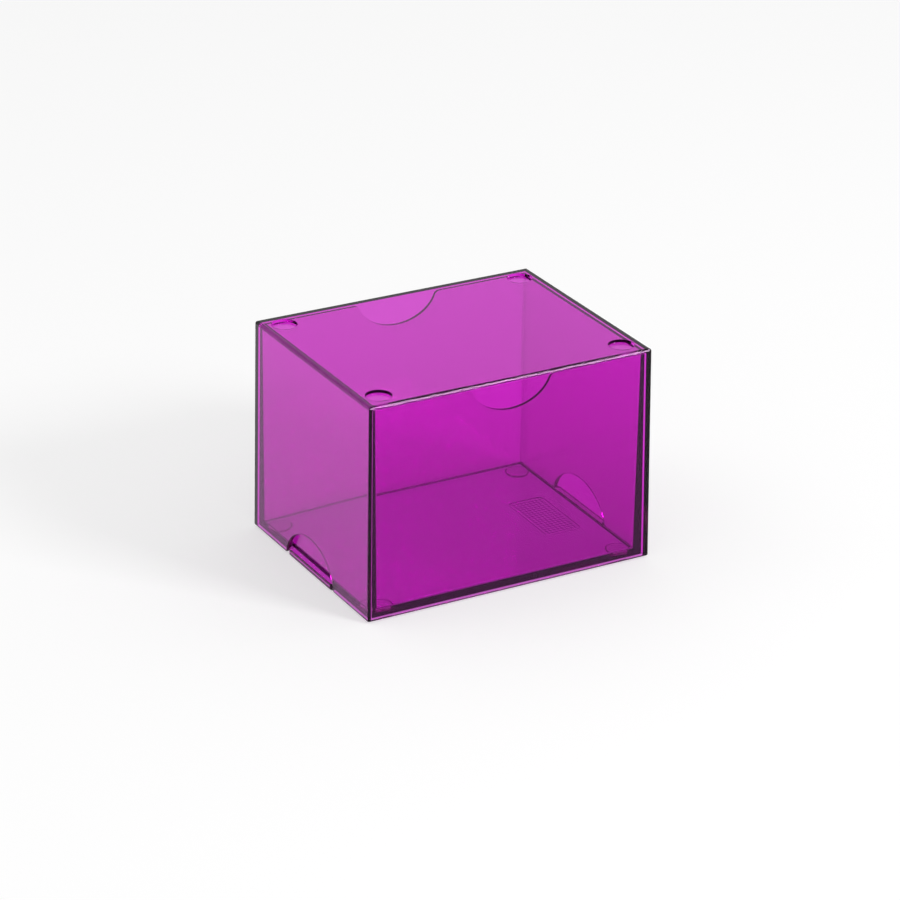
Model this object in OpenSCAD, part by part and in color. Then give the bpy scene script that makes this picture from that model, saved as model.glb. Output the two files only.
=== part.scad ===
// Card deck box: a clear moulded cover that drops over a clear moulded tray.
// Frame: origin at the middle of the box, on the plane its feet stand on.
// +Z is up, X runs along the long side, Y along the short side.

/* [Cover] */
// Outside width of the cover at its top, along X
cover_top_w = 100.3; // [98:0.1:106]
// Outside depth of the cover at its top, along Y
cover_top_d = 78.5; // [70:0.1:90]
// How much wider each cover wall stands at the bottom than at the top
cover_flare = 0.86; // [0.3:0.02:1.5]
// Height of the cover's top surface above the table
box_h = 72.6; // [68:0.1:85]
// Height of the cover's lower rim above the table
cover_z0 = 0.5; // [0.2:0.1:0.8]
// Thickness of the cover's side walls
cover_wall = 1.5; // [1.2:0.1:1.8]
// Thickness of the cover's top panel
cover_top_t = 1.5; // [1.4:0.1:2]
// Radius of the cover's outside edges
cover_r = 0.6; // [0.6:0.1:1.8]
// Radius of the cover's inside edges
cover_in_r = 0.5; // [0.4:0.1:0.7]

/* [Side arches in the cover] */
// Half width of the arch, along Y
arch_a = 16.2; // [12:0.1:18]
// Height parameter of the arch's curve
arch_b = 12.6; // [9:0.1:15]
// Radius where the arch runs into the lower rim
arch_lip_r = 1.2; // [0.6:0.1:2]

/* [Tray] */
// Gap between the tray's walls and the cover's walls
wall_gap = 0.3; // [0.2:0.05:0.35]
// Gap between the tray's rim and the underside of the cover's top panel
rim_top_gap = 0.3; // [0.2:0.05:0.4]
// Wall thickness at the tray's rim
tray_rim_t = 1.1; // [1:0.1:1.6]
// Wall thickness at the tray's base
tray_base_t = 2.5; // [1.8:0.1:3]
// Thickness of the tray's floor
floor_t = 1.8; // [1.4:0.1:2.4]
// Radius of the tray's outside edges
tray_r = 0.6; // [0.6:0.1:1.6]
// Radius of the tray's inside edges
tray_in_r = 0.8; // [0.6:0.1:1.6]

/* [Thumb notches in the tray] */
// Half width of the notch, along X
notch_a = 14.4; // [10:0.1:18]
// Depth parameter of the notch's curve
notch_b = 11; // [8:0.1:14]
// Radius where the notch runs into the rim
notch_lip_r = 2; // [0.8:0.1:3]

/* [Tray tabs] */
// Half length of the tab under each arch, along Y
tab_half = 15.3; // [10:0.1:15.3]
// Height of the tab's underside above the table
tab_z0 = 0.4; // [0.2:0.1:0.6]
// Height of the tab's top above the table
tab_z1 = 2.6; // [2:0.1:2.6]
// Radius of the tab's two outer corners
tab_r = 1.4; // [0.6:0.1:2.5]

/* [Stacking feet and recesses] */
// Spacing of the feet and recesses along X
stack_x = 86.4; // [70:0.2:87]
// Spacing of the feet and recesses along Y
stack_y = 64; // [50:0.2:65]
// Radius of each recess in the top panel
recess_r = 4.15; // [3.5:0.05:4.4]
// Depth of each recess
recess_depth = 0.9; // [0.5:0.1:0.9]
// Radius of each foot
foot_r = 3.85; // [3:0.05:3.9]
// Height of each foot
foot_h = 0.9; // [0.9:0.1:1]

/* [Floor panel] */
// Size of the plain sunk panel under the floor, along X
panel_w = 13; // [8:1:20]
// Size of the plain sunk panel under the floor, along Y
panel_d = 26; // [15:1:40]
// Position of the plain sunk panel along X
panel_x = 34; // [0:1:36]
// Depth of the plain sunk panel
panel_depth = 0.3; // [0.2:0.1:0.5]

/* [Hidden] */
e = 0.01;
curve_n = 28;
round_n = 32;
cover_bot_w = cover_top_w + 2 * cover_flare;
cover_bot_d = cover_top_d + 2 * cover_flare;
// a wall's slope: how far it moves per millimetre of height
cover_slope = cover_flare / (box_h - cover_z0);
rim_z = box_h - cover_top_t - rim_top_gap;
// the tray's outside walls run parallel to the cover's
tray_flare = cover_slope * (rim_z - foot_h);
// half sizes of the tray at its rim and at its base
rim_hw = cover_top_w / 2 - cover_wall - wall_gap;
rim_hd = cover_top_d / 2 - cover_wall - wall_gap;
base_hw = rim_hw + tray_flare;
base_hd = rim_hd + tray_flare;
floor_z = foot_h + floor_t;
// the inside narrows towards the floor
tray_in_slope = (tray_base_t - tray_rim_t - tray_flare) / (rim_z - floor_z);

// Points of a half-moon cut whose open side is at z = 0 and whose crown points
// to +z. The crown is an ellipse, and each end turns out onto the open edge
// with a small radius. t is how far round the ellipse runs, in degrees.
function moon_h(a, b, t, r) =
    let (psi = atan(b / a * tan(t)))
    b * (1 - cos(t)) - r * cos(psi) + r;
function moon_half(a, b, t, r, n) =
    let (psi = atan(b / a * tan(t)),
         h = moon_h(a, b, t, r),
         px = a * sin(t), pz = h - b * (1 - cos(t)),
         cx = px + r * sin(psi), cz = pz + r * cos(psi))
    concat(
        [for (i = [0:n]) let (u = t * i / n) [a * sin(u), h - b * (1 - cos(u))]],
        [for (i = [1:8]) let (v = psi * (1 - i / 8)) [cx - r * sin(v), cz - r * cos(v)]]);
function moon_points(a, b, t, r, n) =
    let (half = moon_half(a, b, t, r, n), m = len(half))
    concat(
        [[-half[m - 1][0], -5]],
        [for (i = [m - 1:-1:1]) [-half[i][0], half[i][1]]],
        half,
        [[half[m - 1][0], -5]]);

// A flat half-moon plate standing in the XZ plane, centred on y = 0
module moon_cut(a, b, t, r, thick) {
    rotate([90, 0, 0])
        linear_extrude(height = thick, center = true)
            polygon(moon_points(a, b, t, r, curve_n));
}

module at_corners(hw, hd) {
    for (sx = [-1, 1], sy = [-1, 1]) translate([sx * hw, sy * hd, 0]) children();
}

// Convex block, rounded along its upright edges and its closed end
module block_closed_top(top_hw, top_hd, bot_hw, bot_hd, z0, z1, r) {
    hull() {
        at_corners(top_hw - r, top_hd - r) translate([0, 0, z1 - r]) sphere(r = r, $fn = round_n);
        at_corners(bot_hw - r, bot_hd - r) translate([0, 0, z0]) cylinder(r = r, h = e, $fn = round_n);
        translate([-(top_hw - r), -(top_hd - r), z1 - r])
            cube([2 * (top_hw - r), 2 * (top_hd - r), r]);
    }
}

module block_closed_bottom(top_hw, top_hd, bot_hw, bot_hd, z0, z1, r) {
    hull() {
        at_corners(bot_hw - r, bot_hd - r) translate([0, 0, z0 + r]) sphere(r = r, $fn = round_n);
        at_corners(top_hw - r, top_hd - r) translate([0, 0, z1 - e]) cylinder(r = r, h = e, $fn = round_n);
        translate([-(bot_hw - r), -(bot_hd - r), z0])
            cube([2 * (bot_hw - r), 2 * (bot_hd - r), r]);
    }
}

module stack_spots() {
    for (sx = [-1, 1], sy = [-1, 1])
        translate([sx * stack_x / 2, sy * stack_y / 2, 0]) children();
}

// Five-sided cover, open below, with an arch in each short side
// and a round stacking recess near each corner of its top
module cover() {
    in_over = 3;
    in_top = box_h - cover_top_t;
    in_bot_add = cover_slope * (in_top - cover_z0 + in_over);
    color([0.78, 0.18, 0.74, 0.6])
    difference() {
        block_closed_top(cover_top_w / 2, cover_top_d / 2, cover_bot_w / 2, cover_bot_d / 2,
                         cover_z0, box_h, cover_r);
        block_closed_top(cover_top_w / 2 - cover_wall, cover_top_d / 2 - cover_wall,
                         cover_top_w / 2 - cover_wall + in_bot_add,
                         cover_top_d / 2 - cover_wall + in_bot_add,
                         cover_z0 - in_over, in_top, cover_in_r);
        for (s = [-1, 1])
            translate([s * cover_bot_w / 2, 0, cover_z0])
                rotate([0, 0, 90]) moon_cut(arch_a, arch_b, 80, arch_lip_r, 8);
        stack_spots()
            translate([0, 0, box_h - recess_depth]) cylinder(r = recess_r, h = 5, $fn = 64);
    }
}

// Five-sided tray, open above, with a thumb notch in each long side,
// a tab under each arch of the cover and four stacking feet
module tray() {
    in_over = 3;
    in_top_add = tray_in_slope * (rim_z - floor_z + in_over);
    color([0.72, 0.12, 0.68, 0.6])
    difference() {
        union() {
            block_closed_bottom(rim_hw, rim_hd, base_hw, base_hd, foot_h, rim_z, tray_r);
            stack_spots() cylinder(r = foot_r, h = foot_h + 0.5, $fn = 64);
            for (s = [-1, 1]) tab(s);
        }
        block_closed_bottom(base_hw - tray_base_t + in_top_add, base_hd - tray_base_t + in_top_add,
                            base_hw - tray_base_t, base_hd - tray_base_t,
                            floor_z, rim_z + in_over, tray_in_r);
        for (s = [-1, 1])
            translate([0, s * (rim_hd - 1), rim_z])
                mirror([0, 0, 1]) moon_cut(notch_a, notch_b, 73, notch_lip_r, 8);
        translate([panel_x, -1.5, foot_h - 1]) rounded_panel();
    }
}

// Ledge that fills the foot of the cover's arch, level with its outer face
module tab(s) {
    reach = cover_bot_w / 2;
    root = base_hw - 0.9;
    mirror([s < 0 ? 1 : 0, 0, 0])
    translate([0, 0, tab_z0]) {
        linear_extrude(height = tab_z1 - tab_z0) union() {
            translate([root, -tab_half]) square([reach - tab_r - root, 2 * tab_half]);
            translate([root, -tab_half + tab_r]) square([reach - root, 2 * (tab_half - tab_r)]);
            for (sy = [-1, 1])
                translate([reach - tab_r, sy * (tab_half - tab_r)]) circle(r = tab_r, $fn = 48);
        }
    }
}

// Plain sunk panel in the underside of the floor
module rounded_panel() {
    pr = 2;
    linear_extrude(height = 1 + panel_depth) union() {
        square([panel_w - 2 * pr, panel_d], center = true);
        square([panel_w, panel_d - 2 * pr], center = true);
        for (sx = [-1, 1], sy = [-1, 1])
            translate([sx * (panel_w / 2 - pr), sy * (panel_d / 2 - pr)]) circle(r = pr, $fn = 48);
    }
}

tray();
cover();
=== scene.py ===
import math

import bpy
import bmesh
from mathutils import Vector, Matrix
from mathutils.geometry import delaunay_2d_cdt


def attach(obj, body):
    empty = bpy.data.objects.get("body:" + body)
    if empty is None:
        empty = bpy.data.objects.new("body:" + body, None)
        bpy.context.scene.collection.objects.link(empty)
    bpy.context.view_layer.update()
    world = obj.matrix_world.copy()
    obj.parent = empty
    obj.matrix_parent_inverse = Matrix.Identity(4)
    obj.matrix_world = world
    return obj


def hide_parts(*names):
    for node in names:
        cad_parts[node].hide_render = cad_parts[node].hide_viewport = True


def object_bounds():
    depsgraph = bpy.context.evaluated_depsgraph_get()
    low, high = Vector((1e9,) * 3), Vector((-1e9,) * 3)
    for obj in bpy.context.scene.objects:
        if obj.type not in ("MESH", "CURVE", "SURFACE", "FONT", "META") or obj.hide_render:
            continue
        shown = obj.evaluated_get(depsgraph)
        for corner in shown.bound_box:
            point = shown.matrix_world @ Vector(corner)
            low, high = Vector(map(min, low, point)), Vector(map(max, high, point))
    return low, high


MM = 0.001

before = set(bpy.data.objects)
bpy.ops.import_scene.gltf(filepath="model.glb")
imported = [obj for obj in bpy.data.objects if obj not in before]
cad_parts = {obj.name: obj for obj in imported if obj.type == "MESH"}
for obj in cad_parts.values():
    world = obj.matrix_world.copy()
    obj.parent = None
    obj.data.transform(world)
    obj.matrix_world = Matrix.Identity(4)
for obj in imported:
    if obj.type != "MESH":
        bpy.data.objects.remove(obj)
cad_lo, cad_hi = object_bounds()
cad_lo, cad_hi = list(cad_lo), list(cad_hi)

scene = bpy.context.scene

# ----------------------------------------------------------------------------
# Design numbers, in millimetres, the same as the CAD's
# ----------------------------------------------------------------------------
BOX_H = 72.6
COVER_Z0 = 0.5
TOP_W, TOP_D = 100.3, 78.5
FLARE = 0.86
SLOPE = FLARE / (BOX_H - COVER_Z0)
WALL = 1.5
TOP_T = 1.5
GAP = 0.3
RIM_Z = BOX_H - TOP_T - 0.3
FOOT_H = 0.9
FLOOR_Z = FOOT_H + 1.8
RIM_T, BASE_T = 1.1, 2.5
RIM_HW = TOP_W / 2 - WALL - GAP
RIM_HD = TOP_D / 2 - WALL - GAP
TRAY_FLARE = SLOPE * (RIM_Z - FOOT_H)
BASE_HW, BASE_HD = RIM_HW + TRAY_FLARE, RIM_HD + TRAY_FLARE
IN_SLOPE = (BASE_T - RIM_T - TRAY_FLARE) / (RIM_Z - FLOOR_Z)
STACK_X, STACK_Y = 43.2, 32.0
TRAY_R, TRAY_IN_R, TRAY_BASE_R, TRAY_FLOOR_R, TRAY_LIP = 0.5, 0.3, 0.4, 0.9, 0.28
COVER_R, COVER_IN_R, COVER_TOP_R, COVER_CEIL_R, COVER_LIP = 0.6, 0.35, 1.05, 0.35, 0.45
# a plain quarter round, and one cut as two flat facets
ROUND = (0, 12, 24, 36, 48, 60, 72, 84, 90)
BEVEL = (0, 30, 60, 90)


# ----------------------------------------------------------------------------
# Mesh code: a thin-walled cup with a rounded lip that can dip round notches
# ----------------------------------------------------------------------------
def half_moon(a, b, t, r, n, m):
    """Stations (x, v, nx, nv) along a half-moon dip in an edge, from its crown to
    where it has run out onto the edge. v is the depth below the edge, and
    (nx, nv) points into the material."""
    t = math.radians(t)
    psi = math.atan(b / a * math.tan(t))
    h = b * (1 - math.cos(t)) - r * math.cos(psi) + r
    px, pv = a * math.sin(t), h - b * (1 - math.cos(t))
    cx, cv = px + r * math.sin(psi), pv + r * math.cos(psi)
    out = []
    for i in range(n + 1):
        u = t * i / n
        dx, dv = a * math.cos(u), -b * math.sin(u)
        d = math.hypot(dx, dv)
        out.append((a * math.sin(u), h - b * (1 - math.cos(u)), -dv / d, dx / d))
    for i in range(1, m + 1):
        w = psi * (1 - i / m)
        out.append((cx - r * math.sin(w), cv - r * math.cos(w), math.sin(w), math.cos(w)))
    return out


def full_moon_row(a, b, t, r, n=22, m=8):
    half = half_moon(a, b, t, r, n, m)
    left = [(-x, v, -nx, nv) for x, v, nx, nv in half[1:]][::-1]
    return left + half


class Cup:
    """Rings of points round a rounded rectangle, joined into a closed shell."""

    def __init__(self, row_fb, row_lr, corner_n=8):
        self.row_fb, self.row_lr, self.cn = row_fb, row_lr, corner_n
        self.bm = bmesh.new()

    def ring(self, hw, hd, r, z, inset, rim, sgn, follow):
        """hw, hd: functions of z. inset: how far into the material from the
        outline. rim: the rim's z. follow: True on the lip, False at a fixed z."""
        pts = []
        r = max(r, 0.05)

        def walls(row, along):
            res = []
            for x, v, nx, nv in row:
                xx = x + inset * nx
                zz = rim - sgn * (v + inset * nv) if follow else z
                res.append((xx, zz))
            return res

        zc = rim - sgn * inset if follow else z
        w, d = hw(zc), hd(zc)

        def corner(cx, cy, a0):
            for i in range(self.cn + 1):
                an = a0 + math.pi / 2 * i / self.cn
                pts.append((cx + r * math.cos(an), cy + r * math.sin(an), zc))

        fb = walls(self.row_fb, "x")
        lr = walls(self.row_lr, "y")
        for x, zz in fb:
            pts.append((x, -hd(zz), zz))
        corner(w - r, -(d - r), -math.pi / 2)
        for y, zz in lr:
            pts.append((hw(zz), y, zz))
        corner(w - r, d - r, 0.0)
        for x, zz in reversed(fb):
            pts.append((x, hd(zz), zz))
        corner(-(w - r), d - r, math.pi / 2)
        for y, zz in reversed(lr):
            pts.append((-hw(zz), y, zz))
        corner(-(w - r), -(d - r), math.pi)
        return [self.bm.verts.new(Vector(p) * MM) for p in pts]

    def join(self, a, b):
        n = len(a)
        for i in range(n):
            j = (i + 1) % n
            self.bm.faces.new((a[i], a[j], b[j], b[i]))

    def cap(self, outer, holes=()):
        """A flat face with holes. Each hole is a list of vertices."""
        loops = [outer] + list(holes)
        if not holes:
            self.bm.faces.new(outer)
            return
        flat, ids = [], []
        for lp in loops:
            area = sum(p.co.x * q.co.y - q.co.x * p.co.y for p, q in zip(lp, lp[1:] + lp[:1]))
            lp = lp if area > 0 else lp[::-1]
            ids.append(list(range(len(flat), len(flat) + len(lp))))
            flat += lp
        co = [v.co.xy / MM for v in flat]
        _, _, tris, src, _, inside = delaunay_2d_cdt(co, [], ids, 1, 1e-6)
        for tri, faces in zip(tris, inside):
            if list(faces) == [0]:
                self.bm.faces.new([flat[src[i][0]] for i in tri])

    def circle(self, cx, cy, r, z, n=56):
        return [self.bm.verts.new(Vector((cx + r * math.cos(2 * math.pi * i / n),
                                          cy + r * math.sin(2 * math.pi * i / n), z)) * MM)
                for i in range(n)]

    def rounded(self, cx, cy, hw, hd, r, z, n=8):
        pts = []
        for sx, sy, a0 in ((1, -1, -90), (1, 1, 0), (-1, 1, 90), (-1, -1, 180)):
            for i in range(n + 1):
                an = math.radians(a0 + 90 * i / n)
                pts.append((cx + sx * (hw - r) + r * math.cos(an),
                            cy + sy * (hd - r) + r * math.sin(an), z))
        return [self.bm.verts.new(Vector(p) * MM) for p in pts]


def arc(n):
    return [math.pi / 2 * i / n for i in range(n + 1)]


def edge_profile(normals):
    """(sin, cos) like pairs from (0, 1) to (1, 0) for a rounded edge of radius 1,
    made of tangents whose normals stand at these angles from the wall's."""
    out = [(0.0, 1.0)]
    for p, q in zip(normals, normals[1:]):
        m, h = math.radians((p + q) / 2), math.radians((q - p) / 2)
        out.append((math.sin(m) / math.cos(h), math.cos(m) / math.cos(h)))
    out.append((1.0, 0.0))
    return out


def build_cup(row_fb, row_lr, out_w, out_d, in_w, in_d, rim, closed_out, closed_in, sgn,
              r_out, r_in, rb_out, rb_in, lip, cap_out, normals):
    c = Cup(row_fb, row_lr)
    rings = []
    # outer closed edge, from the flat end face out to the wall
    for si, co in reversed(edge_profile(normals)):
        z = closed_out + sgn * rb_out * (1 - si)
        shrink = rb_out * (1 - co)
        zw = closed_out + sgn * rb_out
        rings.append(c.ring(lambda q, s=shrink, zz=zw: out_w(zz) - s,
                            lambda q, s=shrink, zz=zw: out_d(zz) - s,
                            r_out - shrink, z, lip, rim, sgn, False))
    first = rings[0]
    # outer side of the lip, over to the inner side
    for f in arc(5):
        ins, dep = lip * (1 - math.sin(f)), lip * (1 - math.cos(f))
        rings.append(c.ring(lambda q, d=dep: out_w(q) - d, lambda q, d=dep: out_d(q) - d,
                            r_out - dep, 0, ins, rim, sgn, True))
    for f in reversed(arc(5)):
        ins, dep = lip * (1 - math.sin(f)), lip * (1 - math.cos(f))
        rings.append(c.ring(lambda q, d=dep: in_w(q) + d, lambda q, d=dep: in_d(q) + d,
                            r_in + dep, 0, ins, rim, sgn, True))
    # inner closed edge
    for f in arc(6):
        z = closed_in + sgn * (rb_in - rb_in * math.sin(f))
        shrink = rb_in * (1 - math.cos(f))
        zw = closed_in + sgn * rb_in
        rings.append(c.ring(lambda q, s=shrink, zz=zw: in_w(zz) - s,
                            lambda q, s=shrink, zz=zw: in_d(zz) - s,
                            r_in - shrink, z, lip, rim, sgn, False))
    for a, b in zip(rings, rings[1:]):
        c.join(a, b)
    cap_out(c, first)
    c.cap(rings[-1])
    return c.bm


def to_object(bm, name):
    bmesh.ops.recalc_face_normals(bm, faces=bm.faces)
    me = bpy.data.meshes.new(name)
    bm.to_mesh(me)
    bm.free()
    ob = bpy.data.objects.new(name, me)
    scene.collection.objects.link(ob)
    return ob


def apply_modifiers(ob):
    dg = bpy.context.evaluated_depsgraph_get()
    dg.update()
    me = bpy.data.meshes.new_from_object(ob.evaluated_get(dg), depsgraph=dg)
    old = ob.data
    ob.modifiers.clear()
    ob.data = me
    bpy.data.meshes.remove(old)


def finish_shading(ob, angle=20):
    me = ob.data
    bm = bmesh.new()
    bm.from_mesh(me)
    bmesh.ops.remove_doubles(bm, verts=bm.verts, dist=2e-7)
    bmesh.ops.dissolve_degenerate(bm, edges=bm.edges, dist=1e-7)
    for f in bm.faces:
        f.smooth = True
    lim = math.radians(angle)
    for e in bm.edges:
        if len(e.link_faces) == 2:
            e.smooth = e.calc_face_angle(0) < lim
    bm.to_mesh(me)
    bm.free()
    w = ob.modifiers.new("weighted", "WEIGHTED_NORMAL")
    w.mode = "FACE_AREA"
    w.weight = 100
    w.thresh = 0.01
    w.keep_sharp = True
    apply_modifiers(ob)


# ---- the tray ----------------------------------------------------------------
def tray_out_w(z):
    return RIM_HW + SLOPE * (RIM_Z - z)


def tray_out_d(z):
    return RIM_HD + SLOPE * (RIM_Z - z)


def tray_in_w(z):
    return RIM_HW - RIM_T - IN_SLOPE * (RIM_Z - z)


def tray_in_d(z):
    return RIM_HD - RIM_T - IN_SLOPE * (RIM_Z - z)


def tray_underside(c, outer):
    holes = []
    for sx in (-1, 1):
        for sy in (-1, 1):
            cx, cy = sx * STACK_X, sy * STACK_Y
            # soft root, straight side and rounded end
            prof = [(3.85 + 0.3 * (1 - math.sin(f)), FOOT_H - 0.3 * (1 - math.cos(f))) for f in arc(5)]
            prof += [(3.85 - 0.45 * (1 - math.cos(f)), 0.45 - 0.45 * math.sin(f)) for f in arc(6)]
            loops = [c.circle(cx, cy, r, z) for r, z in prof]
            for a, b in zip(loops, loops[1:]):
                c.join(a, b)
            c.cap(loops[-1])
            holes.append(loops[0])
    prof = [(0.12, FOOT_H), (0.03, FOOT_H + 0.03), (0.0, FOOT_H + 0.1), (-0.02, FOOT_H + 0.2),
            (-0.06, FOOT_H + 0.27), (-0.15, FOOT_H + 0.3)]
    loops = [c.rounded(34, -1.5, 6.5 + o, 13 + o, 2 + o, z) for o, z in prof]
    for a, b in zip(loops, loops[1:]):
        c.join(a, b)
    # a plain field of small raised pips on the sunk panel
    pips = []
    for i in range(8):
        for j in range(17):
            cx, cy = 34 + (i - 3.5) * 1.42, -1.5 + (j - 8) * 1.42
            prof = [(0.58, 0.3), (0.48, 0.25), (0.33, 0.21), (0.15, 0.19)]
            pl = [c.circle(cx, cy, r, FOOT_H + z, 12) for r, z in prof]
            for a, b in zip(pl, pl[1:]):
                c.join(a, b)
            c.cap(pl[-1])
            pips.append(pl[0])
    c.cap(loops[-1], pips)
    holes.append(loops[0])
    c.cap(outer, holes)


def make_tray():
    bm = build_cup(full_moon_row(14.4, 11, 73, 2.0), [(-17, 0, 0, 1), (0, 0, 0, 1), (17, 0, 0, 1)],
                   tray_out_w, tray_out_d, tray_in_w, tray_in_d, RIM_Z, FOOT_H, FLOOR_Z, 1,
                   TRAY_R, TRAY_IN_R, TRAY_BASE_R, TRAY_FLOOR_R, TRAY_LIP, tray_underside, ROUND)
    ob = to_object(bm, "tray_shell")
    for s in (-1, 1):
        tab = make_tab(s)
        m = ob.modifiers.new("tab", "BOOLEAN")
        m.operation = "UNION"
        m.solver = "EXACT"
        m.object = tab
        apply_modifiers(ob)
        bpy.data.objects.remove(tab)
    finish_shading(ob)
    return ob


def make_tab(s):
    """The ledge that fills the foot of the arch: rounded outer edges and corners."""
    c = Cup([], [])
    x1, x0 = TOP_W / 2 + FLARE, BASE_HW - 0.9
    z0, z1, half, rc, e = 0.4, 2.6, 15.3, 1.4, 0.32
    levels = [(z0 + e - e * math.sin(f), e * (1 - math.cos(f))) for f in reversed(arc(5))]
    levels += [(z1 - e + e * math.sin(f), e * (1 - math.cos(f))) for f in arc(5)]
    rings = []
    for z, ins in levels:
        pts = []
        hx, hy, r = x1 - ins, half - ins, rc - ins
        for sy, a0 in ((-1, -90), (1, 0)):
            for i in range(9):
                an = math.radians(a0 + 90 * i / 8)
                pts.append((hx - r + r * math.cos(an), sy * (hy - r) + r * math.sin(an), z))
        pts += [(x0, hy, z), (x0, -hy, z)]
        rings.append([c.bm.verts.new(Vector((s * x, y, zz)) * MM) for x, y, zz in pts])
    for a, b in zip(rings, rings[1:]):
        c.join(a, b)
    c.cap(rings[0])
    c.cap(rings[-1])
    return to_object(c.bm, "tab")


# ---- the cover ---------------------------------------------------------------
def cover_out_w(z):
    return TOP_W / 2 + SLOPE * (BOX_H - z)


def cover_out_d(z):
    return TOP_D / 2 + SLOPE * (BOX_H - z)


def cover_in_w(z):
    return TOP_W / 2 - WALL + SLOPE * (BOX_H - TOP_T - z)


def cover_in_d(z):
    return TOP_D / 2 - WALL + SLOPE * (BOX_H - TOP_T - z)


def cover_top(c, outer):
    holes = []
    for sx in (-1, 1):
        for sy in (-1, 1):
            cx, cy = sx * STACK_X, sy * STACK_Y
            rr, dp, e1, e2 = 4.15, 0.9, 0.14, 0.18
            prof = [(rr + e1 - e1 * math.sin(f), BOX_H - e1 + e1 * math.cos(f)) for f in arc(4)]
            prof += [(rr - e2 + e2 * math.cos(f), BOX_H - dp + e2 - e2 * math.sin(f)) for f in arc(4)]
            loops = [c.circle(cx, cy, r, z) for r, z in prof]
            for a, b in zip(loops, loops[1:]):
                c.join(a, b)
            c.cap(loops[-1])
            holes.append(loops[0])
    c.cap(outer, holes)


def make_cover():
    bm = build_cup([(-25, 0, 0, 1), (0, 0, 0, 1), (25, 0, 0, 1)], full_moon_row(16.2, 12.6, 80, 1.2),
                   cover_out_w, cover_out_d, cover_in_w, cover_in_d, COVER_Z0, BOX_H,
                   BOX_H - TOP_T, -1, COVER_R, COVER_IN_R, COVER_TOP_R, COVER_CEIL_R, COVER_LIP, cover_top, BEVEL)
    ob = to_object(bm, "cover_shell")
    finish_shading(ob)
    return ob


# ----------------------------------------------------------------------------
# Materials
# ----------------------------------------------------------------------------
def tinted_plastic(name, tint, density, base, spec, rough_lo, rough_hi, seed):
    mat = bpy.data.materials.new(name)
    mat.use_nodes = True
    nt = mat.node_tree
    nt.nodes.clear()
    out = nt.nodes.new("ShaderNodeOutputMaterial")
    bsdf = nt.nodes.new("ShaderNodeBsdfPrincipled")
    bsdf.inputs["Base Color"].default_value = (*base, 1)
    bsdf.inputs["Transmission Weight"].default_value = 1.0
    bsdf.inputs["IOR"].default_value = 1.5
    bsdf.inputs["Specular Tint"].default_value = (*spec, 1)
    nt.links.new(bsdf.outputs[0], out.inputs["Surface"])
    vol = nt.nodes.new("ShaderNodeVolumeAbsorption")
    vol.inputs["Color"].default_value = (*tint, 1)
    vol.inputs["Density"].default_value = density
    nt.links.new(vol.outputs[0], out.inputs["Volume"])

    co = nt.nodes.new("ShaderNodeTexCoord")
    mp = nt.nodes.new("ShaderNodeMapping")
    mp.inputs["Location"].default_value = (seed, seed * 0.7, seed * 1.3)
    nt.links.new(co.outputs["Object"], mp.inputs["Vector"])
    # handling haze: broad, soft patches of slightly duller polish
    haze = nt.nodes.new("ShaderNodeTexNoise")
    haze.inputs["Scale"].default_value = 55
    haze.inputs["Detail"].default_value = 4
    nt.links.new(mp.outputs[0], haze.inputs["Vector"])
    # fine moulding grain
    fine = nt.nodes.new("ShaderNodeTexNoise")
    fine.inputs["Scale"].default_value = 1800
    fine.inputs["Detail"].default_value = 2
    nt.links.new(mp.outputs[0], fine.inputs["Vector"])
    mul = nt.nodes.new("ShaderNodeMath")
    mul.operation = "MULTIPLY"
    nt.links.new(haze.outputs["Fac"], mul.inputs[0])
    nt.links.new(fine.outputs["Fac"], mul.inputs[1])
    rr = nt.nodes.new("ShaderNodeMapRange")
    rr.inputs["From Min"].default_value = 0.12
    rr.inputs["From Max"].default_value = 0.45
    rr.inputs["To Min"].default_value = rough_lo
    rr.inputs["To Max"].default_value = rough_hi
    nt.links.new(mul.outputs[0], rr.inputs["Value"])
    nt.links.new(rr.outputs[0], bsdf.inputs["Roughness"])
    # faint flow waviness of a moulded wall
    wave = nt.nodes.new("ShaderNodeTexNoise")
    wave.inputs["Scale"].default_value = 38
    wave.inputs["Detail"].default_value = 1.5
    nt.links.new(mp.outputs[0], wave.inputs["Vector"])
    bump = nt.nodes.new("ShaderNodeBump")
    bump.inputs["Strength"].default_value = 0.02
    bump.inputs["Distance"].default_value = 0.0006
    nt.links.new(wave.outputs["Fac"], bump.inputs["Height"])
    nt.links.new(bump.outputs[0], bsdf.inputs["Normal"])
    return mat


TINT, DENSITY = (0.9035, 0.0, 0.886), 1000.0
SPEC = (0.45, 0.3, 0.45)
tray_mat = tinted_plastic("tray_clear_magenta", TINT, DENSITY, (1.0, 0.98, 1.0), SPEC, 0.015, 0.05, 3.1)
cover_mat = tinted_plastic("cover_clear_magenta", TINT, DENSITY, (1.0, 0.98, 1.0), SPEC, 0.008, 0.03, 7.7)

tray = make_tray()
tray.data.materials.clear()
tray.data.materials.append(tray_mat)
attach(tray, "tray")
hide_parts("tray")

cover = make_cover()
cover.data.materials.clear()
cover.data.materials.append(cover_mat)
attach(cover, "cover")
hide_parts("cover")

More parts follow.
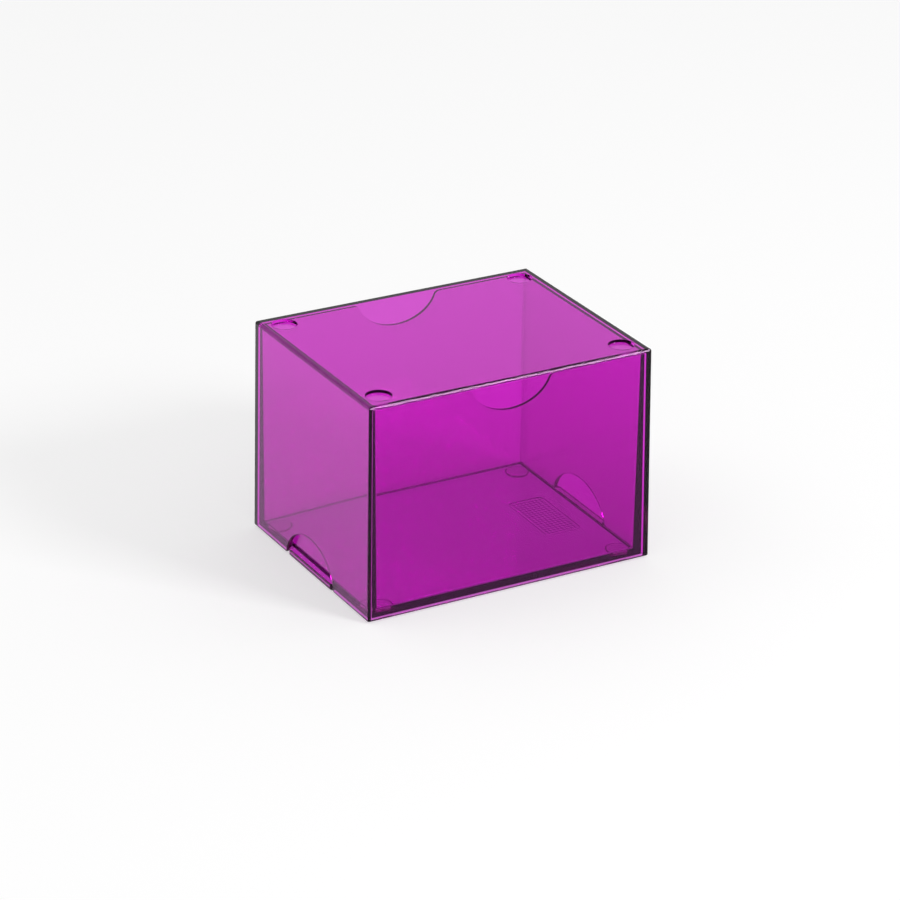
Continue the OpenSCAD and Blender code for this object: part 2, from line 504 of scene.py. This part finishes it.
# ----------------------------------------------------------------------------
# Floor, light, world
# ----------------------------------------------------------------------------
me = bpy.data.meshes.new("floor")
S = 4.0
Z = -0.0001
me.from_pydata([(-S, -S, Z), (S, -S, Z), (S, S, Z), (-S, S, Z)], [], [(0, 1, 2, 3)])
floor = bpy.data.objects.new("floor", me)
scene.collection.objects.link(floor)
fm = bpy.data.materials.new("pale_floor")
fm.use_nodes = True
fb = fm.node_tree.nodes["Principled BSDF"]
fb.inputs["Base Color"].default_value = (0.55, 0.55, 0.55, 1)
fb.inputs["Roughness"].default_value = 1.0
fb.inputs["Specular IOR Level"].default_value = 0.0
fb.inputs["Emission Color"].default_value = (1, 1, 1, 1)
fb.inputs["Emission Strength"].default_value = 0.5
me.materials.append(fm)

# a pale wall all round up to ten degrees or so, and a dim ceiling
world = bpy.data.worlds.new("studio")
scene.world = world
world.use_nodes = True
wt = world.node_tree
bg = wt.nodes["Background"]
wc = wt.nodes.new("ShaderNodeTexCoord")
ws = wt.nodes.new("ShaderNodeSeparateXYZ")
wr = wt.nodes.new("ShaderNodeMapRange")
wr.interpolation_type = "SMOOTHSTEP"
wr.inputs["From Min"].default_value = math.sin(math.radians(4))
wr.inputs["From Max"].default_value = math.sin(math.radians(13))
wr.inputs["To Min"].default_value = 0.92
wr.inputs["To Max"].default_value = 0.63
wt.links.new(wc.outputs["Generated"], ws.inputs[0])
wt.links.new(ws.outputs["Z"], wr.inputs["Value"])
bg.inputs["Color"].default_value = (1, 1, 1, 1)
wt.links.new(wr.outputs[0], bg.inputs["Strength"])


def softbox(name, loc, size, power):
    ld = bpy.data.lights.new(name, "AREA")
    ld.shape = "RECTANGLE"
    ld.size, ld.size_y = size
    ld.energy = power
    ob = bpy.data.objects.new(name, ld)
    scene.collection.objects.link(ob)
    ob.location = loc
    ob.rotation_euler = (Vector((0, 0, 0.03)) - Vector(loc)).to_track_quat("-Z", "Y").to_euler()
    return ob


softbox("key", (0.74, -1.22, 0.86), (0.44, 0.38), 12)
softbox("fill", (-1.1, 0.5, 1.4), (0.8, 0.8), 2)

# ----------------------------------------------------------------------------
# Camera
# ----------------------------------------------------------------------------
AZ, EL, ROLL = math.radians(29.2359), math.radians(24.3686), math.radians(0.6541)
fwd = Vector((math.sin(AZ) * math.cos(EL), math.cos(AZ) * math.cos(EL), -math.sin(EL)))
right0 = Vector((math.cos(AZ), -math.sin(AZ), 0))
up0 = right0.cross(fwd)
right = math.cos(ROLL) * right0 + math.sin(ROLL) * up0
up = -math.sin(ROLL) * right0 + math.cos(ROLL) * up0
cam_data = bpy.data.cameras.new("camera")
cam = bpy.data.objects.new("camera", cam_data)
scene.collection.objects.link(cam)
cam_data.sensor_width = 36
cam_data.lens = 3549.8 / 900 * 36
cam_data.clip_start = 0.01
cam_data.clip_end = 50
cam.matrix_world = Matrix((
    (right.x, up.x, -fwd.x, -0.50722),
    (right.y, up.y, -fwd.y, -0.90586),
    (right.z, up.z, -fwd.z, 0.50267),
    (0, 0, 0, 1)))
scene.camera = cam

scene.cycles.max_bounces = 18
scene.cycles.transmission_bounces = 18
scene.cycles.transparent_max_bounces = 16
scene.cycles.glossy_bounces = 12
scene.cycles.use_denoising = True
scene.cycles.caustics_refractive = True
scene.cycles.caustics_reflective = True
scene.view_settings.view_transform = "Standard"
